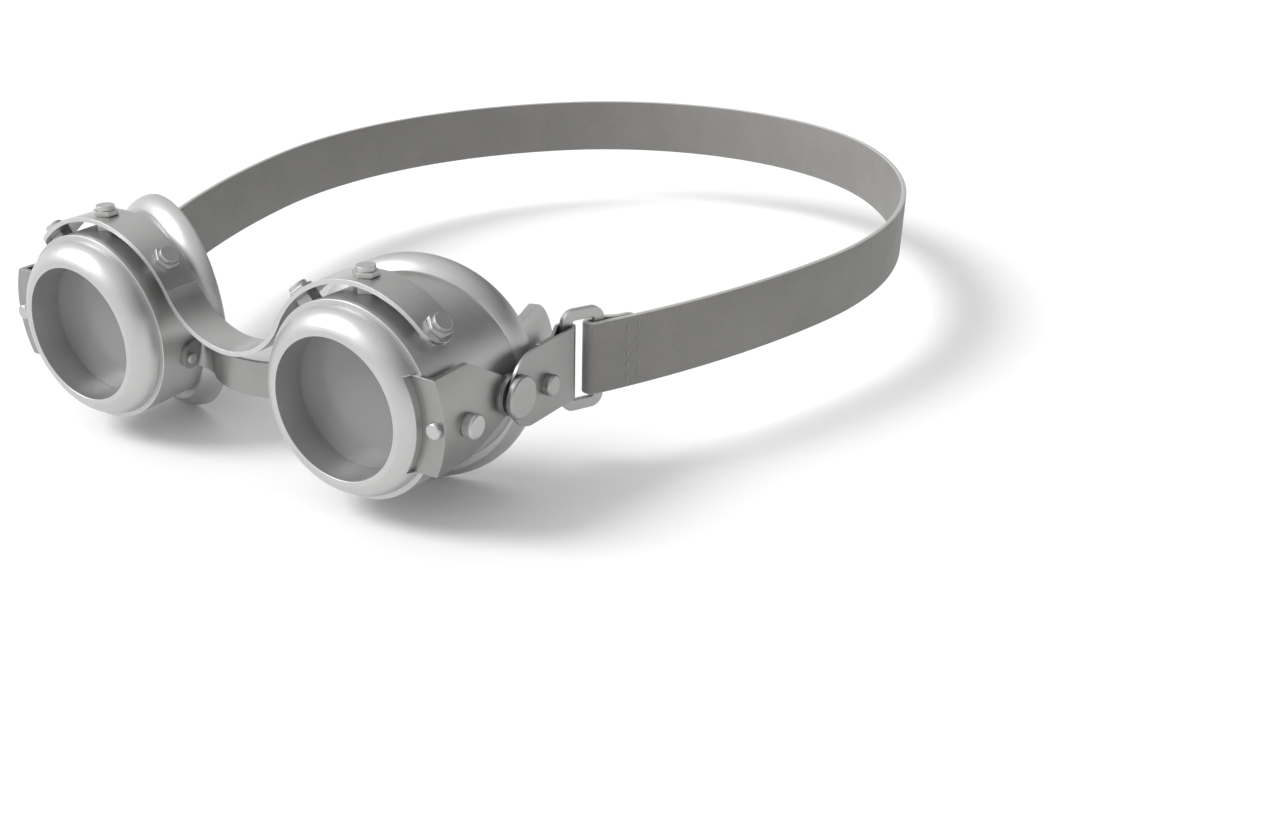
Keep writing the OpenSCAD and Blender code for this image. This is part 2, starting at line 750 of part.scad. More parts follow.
// Centre line of the strap's right half, from the ring to the back
function strap_half() = concat(
    arc(temple_c, temple_r, strap_angle, head_1, 10),
    arc(ear_c, ear_r, head_1 - 2, head_2, 18),
    arc(back_c, back_r, head_2 - 3, -90, 14));

// Inner flap of the strap and its fold round the ring's rear bar
function fold_path() =
    let (nose = bar_w / 2 + 0.2, r = layer_out, n = 10, from = rear_bar - nose * ring_dir)
    let (reach = bar_w / 2 + flap_len, bend = pow(reach, 2) / (2 * temple_r))
    let (flap_in = strap_t + flap_gap + bend - layer_out)
    concat([rear_bar - flap_in * ring_out + reach * ring_dir,
            rear_bar - flap_in * ring_out + (bar_w / 2 + 3) * ring_dir,
            rear_bar - r * ring_out + bar_w / 2 * ring_dir],
        [for (i = [n:-1:0]) from + r * (cos(180 * i / n) * ring_out - sin(180 * i / n) * ring_dir)]);

module strap() {
    half = concat(fold_path(), strap_half());
    last = len(half) - 1;
    loop = concat(half, [for (i = [last - 1:-1:0]) [-half[i][0], half[i][1]]]);
    color("dimgray") place() translate([0, 0, pivot_z - strap_w / 2])
        linear_extrude(height = strap_w) polygon(ribbon(loop, strap_t));
}

bezel(-1);  // bezel_left
bezel(1);  // bezel_right
lens(-1);  // lens_left
lens(1);  // lens_right
lens_gasket(-1);  // lens_gasket_left
lens_gasket(1);  // lens_gasket_right
barrel(-1);  // barrel_left
barrel(1);  // barrel_right
eyecup(-1);  // eyecup_left
eyecup(1);  // eyecup_right
inner_pane(-1);  // inner_pane_left
inner_pane(1);  // inner_pane_right
top_band();
band_spacers();
band_collars();
band_screws();
nose_bridge();
bridge_rivets();
side_bracket(-1);  // side_bracket_left
side_bracket(1);  // side_bracket_right
bracket_rivets(-1);  // bracket_rivets_left
bracket_rivets(1);  // bracket_rivets_right
hinge_knob(-1);  // hinge_knob_left
hinge_knob(1);  // hinge_knob_right
strap_lug(-1);  // strap_lug_left
strap_lug(1);  // strap_lug_right
lug_rivet(-1);  // lug_rivet_left
lug_rivet(1);  // lug_rivet_right
strap_ring(-1);  // strap_ring_left
strap_ring(1);  // strap_ring_right
strap();
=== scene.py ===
import bpy
import json
import math
from mathutils import Matrix, Vector

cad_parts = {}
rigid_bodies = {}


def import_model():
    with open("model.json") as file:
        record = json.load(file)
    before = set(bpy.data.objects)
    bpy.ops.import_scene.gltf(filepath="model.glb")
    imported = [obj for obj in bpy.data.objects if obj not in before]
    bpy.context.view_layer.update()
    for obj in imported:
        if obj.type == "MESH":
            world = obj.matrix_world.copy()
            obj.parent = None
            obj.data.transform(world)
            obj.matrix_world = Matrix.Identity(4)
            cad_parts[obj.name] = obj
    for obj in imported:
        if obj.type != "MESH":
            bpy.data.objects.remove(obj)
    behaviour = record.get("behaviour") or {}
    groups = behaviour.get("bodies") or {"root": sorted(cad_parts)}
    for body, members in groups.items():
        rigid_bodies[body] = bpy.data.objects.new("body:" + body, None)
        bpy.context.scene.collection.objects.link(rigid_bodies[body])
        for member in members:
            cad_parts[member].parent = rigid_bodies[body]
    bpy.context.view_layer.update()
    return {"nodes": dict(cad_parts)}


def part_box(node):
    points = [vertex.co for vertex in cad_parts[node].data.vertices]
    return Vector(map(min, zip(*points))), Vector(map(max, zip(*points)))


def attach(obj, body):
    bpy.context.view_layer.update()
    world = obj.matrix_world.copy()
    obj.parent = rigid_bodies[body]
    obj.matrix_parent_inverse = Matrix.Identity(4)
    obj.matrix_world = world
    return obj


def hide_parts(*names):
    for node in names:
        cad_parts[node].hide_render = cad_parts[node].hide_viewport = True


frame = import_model()
nodes = frame["nodes"]
mm = 0.001
print("frame loaded:", len(nodes), "nodes")


# sRGB hex to linear light, as every colour below needs
def toLinear(hexColour):
    channels = [int(hexColour[i:i + 2], 16) / 255 for i in (1, 3, 5)]
    linear = [c / 12.92 if c <= 0.04045 else ((c + 0.055) / 1.055) ** 2.4 for c in channels]
    return (*linear, 1.0)


# adds one node: settings go to its properties or sockets, links name the sockets that feed it
def addNode(tree, kind, settings=None, links=None):
    node = tree.nodes.new(kind)
    for key, value in (settings or {}).items():
        if isinstance(key, str) and key.islower():
            setattr(node, key, value)
        else:
            node.inputs[key].default_value = value
    for key, source in (links or {}).items():
        tree.links.new(source, node.inputs[key])
    return node


def newMaterial(name):
    material = bpy.data.materials.new(name)
    material.use_nodes = True
    tree = material.node_tree
    shader = tree.nodes["Principled BSDF"]
    place = addNode(tree, "ShaderNodeTexCoord").outputs["Object"]
    return material, tree, shader, place


# turns a grey value into one between two numbers
def spread(tree, source, low, high):
    node = addNode(tree, "ShaderNodeMapRange", {"To Min": low, "To Max": high}, {"Value": source})
    return node.outputs["Result"]


# real metal parts have broken edges, which catch light and wear bright first; each look below
# gives their width as "edge", and all its lengths are mm
metalLook = {
    "smudgeSize": 9.0,       # a patch of handling haze
    "patchSize": 3.1,        # a finer patch inside it
    "grainSize": 0.35,       # grit of the blasting
    "bumpDepth": 0.02,
    "wornFrom": 0.97, "wornTo": 0.82,      # cosine between a face and its rounded edge
    "hazeSpread": 0.07, "patchSpread": (-0.05, 0.06), "markSpread": (-0.06, 0.08),
}


def finishMetal(name, look):
    common = metalLook
    material, tree, shader, place = newMaterial(name)
    shader.inputs["Metallic"].default_value = look["metallic"]
    edge = addNode(tree, "ShaderNodeBevel", {"samples": 6, "Radius": look["edge"] * mm})
    flat = addNode(tree, "ShaderNodeNewGeometry")
    facing = addNode(tree, "ShaderNodeVectorMath", {"operation": "DOT_PRODUCT"},
                     {0: edge.outputs["Normal"], 1: flat.outputs["Normal"]})
    worn = addNode(tree, "ShaderNodeMapRange",
                   {"From Min": common["wornFrom"], "From Max": common["wornTo"], "To Min": 0.0,
                    "To Max": look["wear"]}, {"Value": facing.outputs["Value"]})
    smudge = addNode(tree, "ShaderNodeTexNoise", {"Scale": 1 / (common["smudgeSize"] * mm),
                     "Detail": 4.0, "Roughness": 0.6}, {"Vector": place})
    patchy = addNode(tree, "ShaderNodeTexNoise", {"Scale": 1 / (common["patchSize"] * mm), "Detail": 5.0,
                     "Roughness": 0.65}, {"Vector": place})
    # the process marks: a mapping squeezes noise into lines along the tool's path
    stretch = addNode(tree, "ShaderNodeMapping", {"Scale": look["stretch"],
                      "Location": look.get("centre", (0, 0, 0))}, {"Vector": place})
    marksAt = stretch.outputs["Vector"]
    if look.get("turned"):
        apart = addNode(tree, "ShaderNodeSeparateXYZ", links={"Vector": marksAt})
        flatPlace = addNode(tree, "ShaderNodeCombineXYZ",
                            links={"X": apart.outputs["X"], "Y": apart.outputs["Z"]})
        radius = addNode(tree, "ShaderNodeVectorMath", {"operation": "LENGTH"},
                         {0: flatPlace.outputs["Vector"]})
        ring = addNode(tree, "ShaderNodeCombineXYZ",
                       links={"X": radius.outputs["Value"], "Y": apart.outputs["Y"]})
        marksAt = ring.outputs["Vector"]
    marks = addNode(tree, "ShaderNodeTexNoise", {"Scale": 1 / (look["markGap"] * mm), "Detail": 3.0,
                    "Roughness": 0.7}, {"Vector": marksAt})
    grain = addNode(tree, "ShaderNodeTexNoise", {"Scale": 1 / (common["grainSize"] * mm),
                    "Detail": 2.0}, {"Vector": place})
    base = addNode(tree, "ShaderNodeMix", {"data_type": "RGBA", 6: toLinear(look["shade"]),
                   7: toLinear(look["colour"])}, {0: spread(tree, smudge.outputs["Fac"], 0.25, 1.0)})
    bright = addNode(tree, "ShaderNodeMix", {"data_type": "RGBA", 7: toLinear(look["wornColour"])},
                     {0: worn.outputs["Result"], 6: base.outputs[2]})
    tree.links.new(bright.outputs[2], shader.inputs["Base Color"])
    smooth, rough = look["roughness"] - common["hazeSpread"], look["roughness"] + common["hazeSpread"]
    haze = addNode(tree, "ShaderNodeMath", {"operation": "ADD"},
                   {0: spread(tree, smudge.outputs["Fac"], smooth, rough),
                    1: spread(tree, patchy.outputs["Fac"], *common["patchSpread"])})
    streaked = addNode(tree, "ShaderNodeMath", {"operation": "ADD"},
                       {0: haze.outputs["Value"],
                        1: spread(tree, marks.outputs["Fac"], *common["markSpread"])})
    tree.links.new(streaked.outputs["Value"], shader.inputs["Roughness"])
    relief = addNode(tree, "ShaderNodeMath", {"operation": "MULTIPLY_ADD", 1: look["grain"]},
                     {0: grain.outputs["Fac"], 2: marks.outputs["Fac"]})
    bump = addNode(tree, "ShaderNodeBump", {"Strength": look["relief"], "Distance": common["bumpDepth"] * mm},
                   {"Height": relief.outputs["Value"], "Normal": edge.outputs["Normal"]})
    tree.links.new(bump.outputs["Normal"], shader.inputs["Normal"])
    return material


sideNames = ("left", "right")
lensBox = {side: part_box("lens_" + side) for side in sideNames}
lensCentre = {side: (low + high) / 2 for side, (low, high) in lensBox.items()}

# turned on a lathe, then satin blasted: soft rings round the lens, no mirror
turnedLook = {"colour": "#c8c8c7", "shade": "#b4b4b4", "wornColour": "#ececea", "metallic": 0.9,
              "edge": 0.28, "roughness": 0.4, "wear": 0.75, "markGap": 0.55, "grain": 0.5, "relief": 0.35,
              "turned": True, "stretch": (1, 1, 1)}
# rolled sheet, brushed along its length
sheetLook = {"colour": "#d0d0cf", "shade": "#b8b8b7", "wornColour": "#efefec", "metallic": 0.95,
             "edge": 0.11, "roughness": 0.33, "wear": 0.7, "markGap": 0.45, "grain": 0.2, "relief": 0.4,
             "stretch": (0.08, 1, 0.08)}
# the same sheet with its colour darkened as painted shade, for brackets, lugs and bridge
shadedSheetLook = dict(sheetLook, colour="#a2a2a1", shade="#8c8c8b", wornColour="#cfcfcc")
# turned and tumbled fasteners
fastenerLook = {"colour": "#c4c4c3", "shade": "#b0b0af", "wornColour": "#e2e2e0", "metallic": 0.8,
                "edge": 0.22, "roughness": 0.36, "wear": 0.6, "markGap": 0.9, "grain": 0.1, "relief": 0.05,
                "stretch": (1, 1, 1)}
# darker phosphated steel of the strap's hardware
hardwareLook = {"colour": "#b4b4b3", "shade": "#969695", "wornColour": "#d2d2cf", "metallic": 0.95,
                "edge": 0.28, "roughness": 0.38, "wear": 0.8, "markGap": 0.5, "grain": 0.3, "relief": 0.35,
                "stretch": (1, 0.08, 1)}

# smoked glass: one even grey with a polished face and a little haze
glassLook = {"colour": "#8c8c8c", "ior": 1.52, "transmission": 0.18, "roughness": (0.1, 0.26),
             "hazeSize": 14.0, "dustSize": 0.8, "relief": 0.04, "bumpDepth": 0.02}


def smokedGlass(name):
    look = glassLook
    material, tree, shader, place = newMaterial(name)
    shader.inputs["Base Color"].default_value = toLinear(look["colour"])
    shader.inputs["IOR"].default_value = look["ior"]
    shader.inputs["Transmission Weight"].default_value = look["transmission"]
    haze = addNode(tree, "ShaderNodeTexNoise", {"Scale": 1 / (look["hazeSize"] * mm),
                   "Detail": 6.0, "Roughness": 0.6}, {"Vector": place})
    tree.links.new(spread(tree, haze.outputs["Fac"], *look["roughness"]), shader.inputs["Roughness"])
    dust = addNode(tree, "ShaderNodeTexNoise", {"Scale": 1 / (look["dustSize"] * mm), "Detail": 2.0},
                   {"Vector": place})
    bump = addNode(tree, "ShaderNodeBump", {"Strength": look["relief"], "Distance": look["bumpDepth"] * mm},
                   {"Height": dust.outputs["Fac"]})
    tree.links.new(bump.outputs["Normal"], shader.inputs["Normal"])
    return material


# surfaces with one pattern that gives tone, roughness and relief; grain and bumpDepth are mm
# moulded nitrile rubber: near black, fine matt skin
rubberLook = {"shade": "#161616", "colour": "#262626", "grain": 0.3, "roughness": (0.6, 0.75),
              "relief": 0.3, "bumpDepth": 0.03}
# burnished and edge-painted cut edge of the leather: smoother than its grain side, and lighter, partly from
# its edge paint and partly as a painted highlight for the light falling on the upward-facing edge
cutEdgeAndHighlightLook = {"shade": "#a3a2a0", "colour": "#b9b8b5", "grain": 1.8, "roughness": (0.34, 0.48),
               "relief": 0.35, "bumpDepth": 0.05}
# waxed twisted thread
threadLook = {"shade": "#7c7b79", "colour": "#989794", "grain": 0.15, "roughness": (0.45, 0.6),
              "relief": 0.5, "bumpDepth": 0.05}
organicIor = 1.5


def plainSurface(name, look):
    material, tree, shader, place = newMaterial(name)
    shader.inputs["IOR"].default_value = organicIor
    grain = addNode(tree, "ShaderNodeTexNoise", {"Scale": 1 / (look["grain"] * mm), "Detail": 3.0},
                    {"Vector": place})
    tone = addNode(tree, "ShaderNodeMix", {"data_type": "RGBA", 6: toLinear(look["shade"]),
                   7: toLinear(look["colour"])}, {0: grain.outputs["Fac"]})
    tree.links.new(tone.outputs[2], shader.inputs["Base Color"])
    tree.links.new(spread(tree, grain.outputs["Fac"], *look["roughness"]), shader.inputs["Roughness"])
    bump = addNode(tree, "ShaderNodeBump", {"Strength": look["relief"], "Distance": look["bumpDepth"] * mm},
                   {"Height": grain.outputs["Fac"]})
    tree.links.new(bump.outputs["Normal"], shader.inputs["Normal"])
    return material


# vegetable-tanned grain leather, dyed grey: pebbled cells with pores and fine creases; lengths in mm
leatherLook = {"colour": "#8a8987", "shade": "#787775", "creaseTone": "#d6d6d6", "creaseShare": 0.4,
               "creaseWidth": 0.3,         # share of a pebble
               "pebble": 0.5, "pore": 0.2, "wander": 2.5, "wanderBy": 0.5, "blotch": 11.0,
               "roughness": (0.66, 0.5), "poreRelief": 0.35, "relief": 0.45, "bumpDepth": 0.06}


def strapLeather(name):
    look = leatherLook
    material, tree, shader, place = newMaterial(name)
    shader.inputs["IOR"].default_value = organicIor
    wander = addNode(tree, "ShaderNodeTexNoise", {"Scale": 1 / (look["wander"] * mm), "Detail": 2.0},
                     {"Vector": place})
    bent = addNode(tree, "ShaderNodeVectorMath", {"operation": "MULTIPLY_ADD",
                   1: (look["wanderBy"] * mm,) * 3}, {0: wander.outputs["Color"], 2: place})
    pebbles = addNode(tree, "ShaderNodeTexVoronoi", {"feature": "DISTANCE_TO_EDGE",
                      "Scale": 1 / (look["pebble"] * mm)}, {"Vector": bent.outputs["Vector"]})
    pores = addNode(tree, "ShaderNodeTexNoise", {"Scale": 1 / (look["pore"] * mm),
                    "Detail": 4.0, "Roughness": 0.7}, {"Vector": place})
    blotch = addNode(tree, "ShaderNodeTexNoise", {"Scale": 1 / (look["blotch"] * mm), "Detail": 5.0,
                     "Roughness": 0.55}, {"Vector": place})
    creased = addNode(tree, "ShaderNodeMapRange", {"interpolation_type": "SMOOTHSTEP", "From Min": 0.0,
                      "From Max": look["creaseWidth"]}, {"Value": pebbles.outputs["Distance"]})
    dyed = addNode(tree, "ShaderNodeMix", {"data_type": "RGBA", 6: toLinear(look["shade"]),
                   7: toLinear(look["colour"])}, {0: spread(tree, blotch.outputs["Fac"], 0.1, 1.0)})
    inCrease = spread(tree, creased.outputs["Result"], look["creaseShare"], 0.0)
    darker = addNode(tree, "ShaderNodeMix", {"data_type": "RGBA", "blend_type": "MULTIPLY",
                     7: toLinear(look["creaseTone"])}, {0: inCrease, 6: dyed.outputs[2]})
    tree.links.new(darker.outputs[2], shader.inputs["Base Color"])
    tree.links.new(spread(tree, blotch.outputs["Fac"], *look["roughness"]), shader.inputs["Roughness"])
    relief = addNode(tree, "ShaderNodeMath", {"operation": "MULTIPLY_ADD", 1: look["poreRelief"]},
                     {0: pores.outputs["Fac"], 2: creased.outputs["Result"]})
    bump = addNode(tree, "ShaderNodeBump", {"Strength": look["relief"], "Distance": look["bumpDepth"] * mm},
                   {"Height": relief.outputs["Value"]})
    tree.links.new(bump.outputs["Normal"], shader.inputs["Normal"])
    return material


def dress(material, *names):
    for name in names:
        mesh = nodes[name].data
        mesh.materials.clear()
        mesh.materials.append(material)


for side in sideNames:
    centre = lensCentre[side]
    turnedMetal = finishMetal("turned blasted aluminium " + side,
                              dict(turnedLook, centre=(-centre.x, 0, -centre.z)))
    dress(turnedMetal, "bezel_" + side, "barrel_" + side, "eyecup_" + side)
brushedSheet = finishMetal("brushed steel sheet", sheetLook)
shadedSheet = finishMetal("steel sheet darkened with painted shade", shadedSheetLook)
# this copy of the sheet is darker only as painted shade
brightFastener = finishMetal("tumbled steel fasteners", fastenerLook)
strapHardware = finishMetal("phosphated steel hardware", hardwareLook)
lensGlass = smokedGlass("smoked float glass")
sealRubber = plainSurface("moulded nitrile rubber", rubberLook)
leather = strapLeather("grain leather strap")
# the cut edge's lighter tone is partly a painted highlight
cutEdgeAndHighlight = plainSurface("burnished leather edge with painted highlight", cutEdgeAndHighlightLook)
thread = plainSurface("waxed linen thread", threadLook)
dress(brushedSheet, "top_band")
# brackets and lugs take the sheet darkened as painted shade
dress(shadedSheet, "side_bracket_left", "side_bracket_right", "strap_lug_left", "strap_lug_right")
dress(brightFastener, "band_spacers", "band_collars", "band_screws", "bridge_rivets",
      "bracket_rivets_left", "bracket_rivets_right")
dress(strapHardware, "strap_ring_left", "strap_ring_right", "hinge_knob_left", "hinge_knob_right",
      "lug_rivet_left", "lug_rivet_right")
dress(lensGlass, "lens_left", "lens_right", "inner_pane_left", "inner_pane_right")
dress(sealRubber, "lens_gasket_left", "lens_gasket_right")
print("materials:", len(bpy.data.materials))


def nothingSelected():
    for other in bpy.context.view_layer.objects:
        other.select_set(False)
    bpy.context.view_layer.objects.active = None


smoothAngle = math.radians(35)              # sharper edges than this stay sharp


def extrudeBy(step):
    bpy.ops.mesh.extrude_region_move(TRANSFORM_OT_translate={"value": step})


# sweeps what is selected; a positive angle turns to the left as seen from above
def sweep(centre, degrees, steps):
    bpy.ops.mesh.spin(steps=steps, angle=-math.radians(degrees), center=centre, axis=(0, 0, 1))


# adds and applies modifiers in order; each kind comes with its settings
def applyModifiers(thing, modifiers):
    for kind, settings in modifiers:
        modifier = thing.modifiers.new(kind.lower(), kind)
        for key, value in settings.items():
            setattr(modifier, key, value)
        bpy.ops.object.modifier_apply(modifier=modifier.name)


def faceOutward():
    bpy.ops.object.mode_set(mode="EDIT")
    bpy.ops.mesh.select_all(action="SELECT")
    bpy.ops.mesh.normals_make_consistent(inside=False)
    bpy.ops.object.mode_set(mode="OBJECT")
    bpy.ops.object.shade_smooth_by_angle(angle=smoothAngle)


# nose bridge: one bent sheet with a tab on each barrel, a soft bend and a plate that bulges to the
# front; mm and degrees
bridgeLook = {
    "thickness": 0.9, "height": 7.3,
    "tabTip": 0.5,                         # the tab ends this far behind the solid's front
    "tabLength": 4.4, "tabHeight": 6.0, "tabRound": 2.9, "roundSteps": 10,
    "bendRadius": 1.6, "bendSteps": 12,
    "bulgeAngle": 40.0, "bulgeSteps": 14,
    "besideBarrel": 0.05,                  # gap between tab and barrel
    "rows": 9,                             # of faces, so that the tab can follow the round barrel
    "alike": 0.01,                         # closer than this is the same place
}


# 1 on the tab, 0 on the plate, and in between over the bend
def tabShare(x, bendStart, bendEnd):
    share = min(max((x - bendEnd) / (bendStart - bendEnd), 0), 1)
    return share * share


# selects the tab's two free corners, which a bevel then rounds
def selectTip(mesh, tipY):
    bpy.ops.mesh.select_mode(type="VERT")
    bpy.ops.mesh.select_all(action="DESELECT")
    bpy.ops.object.mode_set(mode="OBJECT")
    for vertex in mesh.vertices:
        vertex.select = abs(vertex.co.y - tipY) < bridgeLook["alike"] * mm
    bpy.ops.object.mode_set(mode="EDIT")


def makeBridge():
    look = bridgeLook
    low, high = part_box("nose_bridge")
    low.y += look["tabTip"] * mm
    low.z = high.z - look["height"] * mm
    thick, bend, same = (look[key] * mm for key in ("thickness", "bendRadius", "alike"))
    offBarrel = thick / 2 + look["besideBarrel"] * mm
    turn = 90 + look["bulgeAngle"]
    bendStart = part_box("barrel_right")[0].x - offBarrel
    bendCentre = Vector((bendStart - bend, low.y + look["tabLength"] * mm, 0))
    bendEnd = bendCentre + bend * Vector((math.cos(math.radians(turn)), math.sin(math.radians(turn)), 0))
    bulgeCentre = Vector((0, bendEnd.y + bendEnd.x / math.tan(math.radians(look["bulgeAngle"])), 0))
    nothingSelected()
    # a plane without width becomes the upright line that is swept
    bpy.ops.mesh.primitive_plane_add(size=1, location=(bendStart, low.y, (low.z + high.z) / 2),
                                     rotation=(math.pi / 2, 0, 0))
    bridge = bpy.context.object
    bridge.name = "bridge_plate"
    bridge.scale = (0, high.z - low.z, 1)
    bpy.ops.object.transform_apply(location=True, rotation=True, scale=True)
    bpy.ops.object.mode_set(mode="EDIT")
    bpy.ops.mesh.select_all(action="SELECT")
    bpy.ops.mesh.remove_doubles(threshold=same)
    extrudeBy(Vector((0, look["tabLength"] * mm, 0)))
    sweep(bendCentre, turn, look["bendSteps"])
    sweep(bulgeCentre, -look["bulgeAngle"], look["bulgeSteps"])
    bpy.ops.object.mode_set(mode="OBJECT")
    step = (look["height"] - look["tabHeight"]) * mm
    for vertex in bridge.data.vertices:        # the tab's lower edge lies above the plate's
        if vertex.co.z < low.z + same:
            vertex.co.z += step * tabShare(vertex.co.x, bendStart, bendEnd.x)
    bpy.ops.object.mode_set(mode="EDIT")
    selectTip(bridge.data, low.y)
    bpy.ops.mesh.bevel(offset=look["tabRound"] * mm, segments=look["roundSteps"], affect="VERTICES")
    for row in range(1, look["rows"]):
        bpy.ops.mesh.select_all(action="SELECT")
        height = low.z + (high.z - low.z) * row / look["rows"]
        bpy.ops.mesh.bisect(plane_co=(0, 0, height), plane_no=(0, 0, 1))
    bpy.ops.object.mode_set(mode="OBJECT")
    onBarrel = bridge.vertex_groups.new(name="on the barrel")
    for vertex in bridge.data.vertices:
        onBarrel.add([vertex.index], tabShare(vertex.co.x, bendStart, bendEnd.x), "REPLACE")
    applyModifiers(bridge, (
        ("SHRINKWRAP", {"target": nodes["barrel_right"], "wrap_method": "PROJECT", "use_project_x": True,
                        "offset": offBarrel, "vertex_group": onBarrel.name}),
        ("MIRROR", {"use_clip": True, "merge_threshold": 2 * same}),
        ("SOLIDIFY", {"thickness": thick, "offset": 0, "use_even_offset": True})))
    faceOutward()
    # the bridge takes the sheet darkened as painted shade
    bridge.data.materials.append(shadedSheet)
    return bridge


bridge = makeBridge()
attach(bridge, "goggles_frame")
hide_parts("nose_bridge")
print("bridge:", len(bridge.data.polygons), "faces")

# the strap: one band of leather, folded round each ring and stitched down; mm and degrees
strapLook = {
    "width": 14.8, "thickness": 1.2,
    "ringAngle": 26.2,                     # between the ring and the line of sight
    "templeRadius": 230.0, "templeSweep": 16.2, "templeSteps": 16,
    "earRadius": 108.0, "earSweep": 53.3, "earSteps": 40, "backSteps": 44,
    "ringThickness": 1.2, "barWidth": 2.1, "barPlay": 0.1,
    "flapLength": 9.0, "flapGap": 0.15, "flapCorner": 3.2, "cornerSteps": 7,
    "foldEase": 4.0, "easeSteps": 5,       # length over which the flap closes up to the strap
    "easeBeforeBar": 0.15, "foldPastBar": 0.2, "foldSteps": 14,
    "edgeRound": 0.32, "edgeSteps": 3, "edgeAngle": 50.0,
    "flapEnd": 8.0,                        # faces this near the flap's tip can be its cut end
    "alike": 0.01,                         # closer than this is the same place
}


# directions beside and along a line that is turned this far to the right of straight back
def across(degrees):
    turned = math.radians(degrees)
    return Vector((math.cos(turned), -math.sin(turned), 0))


def backward(degrees):
    turned = math.radians(degrees)
    return Vector((math.sin(turned), math.cos(turned), 0))


def strapRoute():
    look = strapLook
    ringLow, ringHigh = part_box("strap_ring_right")
    centre = (ringLow + ringHigh) / 2
    along, out = backward(look["ringAngle"]), across(look["ringAngle"])
    ringReach = (ringHigh.y - ringLow.y) / 2
    # the ring's half width from its box, which also holds its thickness
    half = (ringReach - look["ringThickness"] / 2 * mm * abs(out.y)) / along.y
    bar = centre + (half - look["barWidth"] / 2 * mm) * along
    layer = (look["ringThickness"] / 2 + look["barPlay"] + look["thickness"] / 2) * mm
    reach = (look["barWidth"] / 2 + look["flapLength"]) * mm
    bend = reach ** 2 / (2 * look["templeRadius"] * mm)
    flapIn = (look["thickness"] + look["flapGap"]) * mm + bend - layer
    return {"along": along, "out": out, "bar": bar, "layer": layer,
            "reach": reach, "flapIn": flapIn}


def makeStrap():
    look, route = strapLook, strapPath
    along, out, bar, layer = route["along"], route["out"], route["bar"], route["layer"]
    thick, width = look["thickness"] * mm, look["width"] * mm
    nothingSelected()
    tip = bar - route["flapIn"] * out + route["reach"] * along
    bpy.ops.mesh.primitive_plane_add(size=1, location=tip, rotation=(math.pi / 2, 0, 0))
    strap = bpy.context.object
    strap.name = "leather_strap"
    strap.scale = (thick, width, 1)
    strap.rotation_euler = (math.pi / 2, 0, -math.radians(look["ringAngle"]))
    bpy.ops.object.transform_apply(location=True, rotation=True, scale=True)
    bpy.ops.object.mode_set(mode="EDIT")
    bpy.ops.mesh.select_all(action="SELECT")
    # flap, then an S-shaped ease out to the ring's bar; half is its length so far
    ease, shift = look["foldEase"] * mm, layer - route["flapIn"]
    easeAngle = math.degrees(2 * math.atan(shift / ease))
    easeRadius = (ease ** 2 + shift ** 2) / (4 * shift)
    straight = route["reach"] - ease - (look["barWidth"] / 2 + look["easeBeforeBar"]) * mm
    extrudeBy(-straight * along)
    easeStart = tip - straight * along
    sweep(easeStart - easeRadius * out, -easeAngle, look["easeSteps"])
    easeEnd = easeStart - ease * along - shift * out
    sweep(easeEnd + easeRadius * out, easeAngle, look["easeSteps"])
    foldCentre = bar - (look["barWidth"] / 2 + look["foldPastBar"]) * mm * along
    extrudeBy((foldCentre - layer * out) - easeEnd)
    sweep(foldCentre, 180, look["foldSteps"])
    start = bar + layer * out
    extrudeBy(start - (foldCentre + layer * out))
    half = straight + 2 * easeRadius * math.radians(easeAngle) + (foldCentre - layer * out - easeEnd).length
    half += math.pi * layer + (bar - foldCentre).length
    # three arcs beside the temple, behind the ear and round the back of the head
    angle = look["ringAngle"]
    for place in ("temple", "ear"):
        radius, turn = look[place + "Radius"] * mm, look[place + "Sweep"]
        centre = start - radius * across(angle)
        sweep(centre, turn, look[place + "Steps"])
        angle -= turn
        start = centre + radius * across(angle)
        half += radius * math.radians(turn)
    backRadius = start.x / math.sin(math.radians(90 + angle))
    centre = start - backRadius * across(angle)
    sweep(centre, 90 + angle, look["backSteps"])
    half += backRadius * math.radians(90 + angle)
    bpy.ops.mesh.delete(type="ONLY_FACE")      # the middle stays open for the mirrored half
    roundFlap(strap, tip, along)
    bpy.ops.object.mode_set(mode="OBJECT")
    applyModifiers(strap, (
        ("MIRROR", {"use_clip": True, "merge_threshold": 2 * look["alike"] * mm}),
        ("BEVEL", {"width": look["edgeRound"] * mm, "segments": look["edgeSteps"],
                   "limit_method": "ANGLE", "angle_limit": math.radians(look["edgeAngle"])})))
    faceOutward()
    strap.data.materials.append(leather)
    # the lighter cut-edge material is partly a painted highlight on the edges
    strap.data.materials.append(cutEdgeAndHighlight)
    for face in strap.data.polygons:           # top and bottom edges and the flap's end are cut edges
        atTip = face.normal.dot(along) > 0.5 and (face.center - tip).length < look["flapEnd"] * mm
        face.material_index = 1 if abs(face.normal.z) > 0.5 or atTip else 0
    return strap, 2 * half


# rounds the flap's two corners, seen from its flat side
def roundFlap(strap, tip, along):
    bpy.ops.mesh.select_mode(type="EDGE")      # set before the choice, which vertex mode would widen
    bpy.ops.mesh.select_all(action="DESELECT")
    bpy.ops.object.mode_set(mode="OBJECT")
    mesh, same = strap.data, strapLook["alike"] * mm
    for edge in mesh.edges:
        ends = [mesh.vertices[i].co for i in edge.vertices]
        middle = (ends[0] + ends[1]) / 2
        atTip = abs((middle - tip).dot(along)) < same
        edge.select = atTip and abs(ends[0].z - ends[1].z) < same
    bpy.ops.object.mode_set(mode="EDIT")
    bpy.ops.mesh.bevel(offset=strapLook["flapCorner"] * mm, segments=strapLook["cornerSteps"])


strapPath = strapRoute()
strap, strapLength = makeStrap()
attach(strap, "strap_harness")
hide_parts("strap")
print("strap swept:", len(strap.data.polygons), "faces,", round(strapLength / mm, 1), "mm long")

